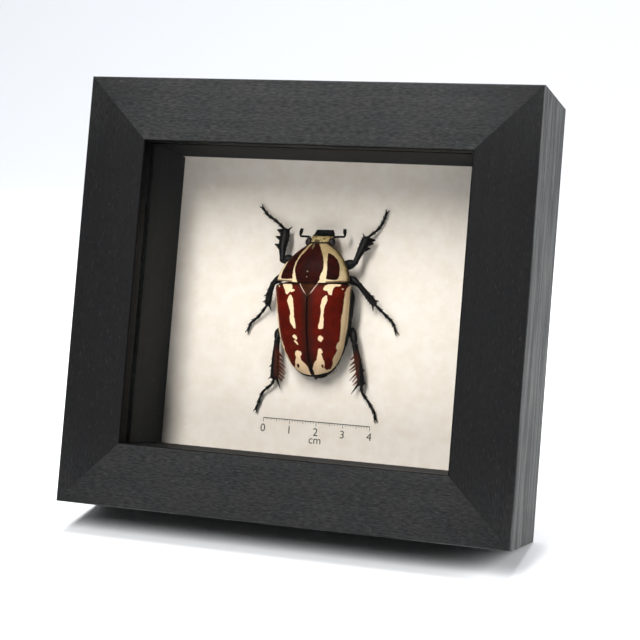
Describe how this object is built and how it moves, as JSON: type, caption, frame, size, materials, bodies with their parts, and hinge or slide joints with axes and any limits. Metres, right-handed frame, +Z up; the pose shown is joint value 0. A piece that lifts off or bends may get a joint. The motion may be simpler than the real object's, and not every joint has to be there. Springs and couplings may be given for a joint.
{
  "type": "framed scarab beetle specimen",
  "caption": "Deep black wooden box frame, glazed at the front, with a maroon and cream scarab beetle fixed on a pale card inside.",
  "frame": {"origin": "middle of the frame's base, halfway between the front and the back", "axes": "+Z up; +X to the right as seen from the front; -Y towards the viewer, through the glass"},
  "size_m": [0.161, 0.043, 0.15],
  "materials": {
    "black_wood": "matt black stain with open grain",
    "spacer_wood": "matt black",
    "glass": "clear picture glass",
    "card": "matt cream card with faint mottling",
    "hardboard": "brown hardboard",
    "steel": "zinc-plated sheet",
    "maroon_shell": "satin maroon shell with cream markings",
    "black_shell": "satin black shell"
  },
  "bodies": {
    "root": {"frame_top_rail": "black_wood", "frame_bottom_rail": "black_wood", "frame_left_rail": "black_wood", "frame_right_rail": "black_wood", "spacer_top": "spacer_wood", "spacer_bottom": "spacer_wood", "spacer_left": "spacer_wood", "spacer_right": "spacer_wood", "glass_pane": "glass", "backing_card": "card", "back_board": "hardboard", "back_tab_1": "steel", "back_tab_2": "steel", "back_tab_3": "steel", "back_tab_4": "steel", "back_tab_5": "steel", "back_tab_6": "steel", "pronotum": "maroon_shell", "scutellum": "maroon_shell", "elytron_left": "maroon_shell", "elytron_right": "maroon_shell", "beetle_head": "black_shell", "antenna_left": "black_shell", "antenna_right": "black_shell", "beetle_body": "black_shell", "front_leg_left": "black_shell", "front_leg_right": "black_shell", "middle_leg_left": "black_shell", "middle_leg_right": "black_shell", "hind_leg_left": "black_shell", "hind_leg_right": "black_shell"}
  },
  "joints": []
}
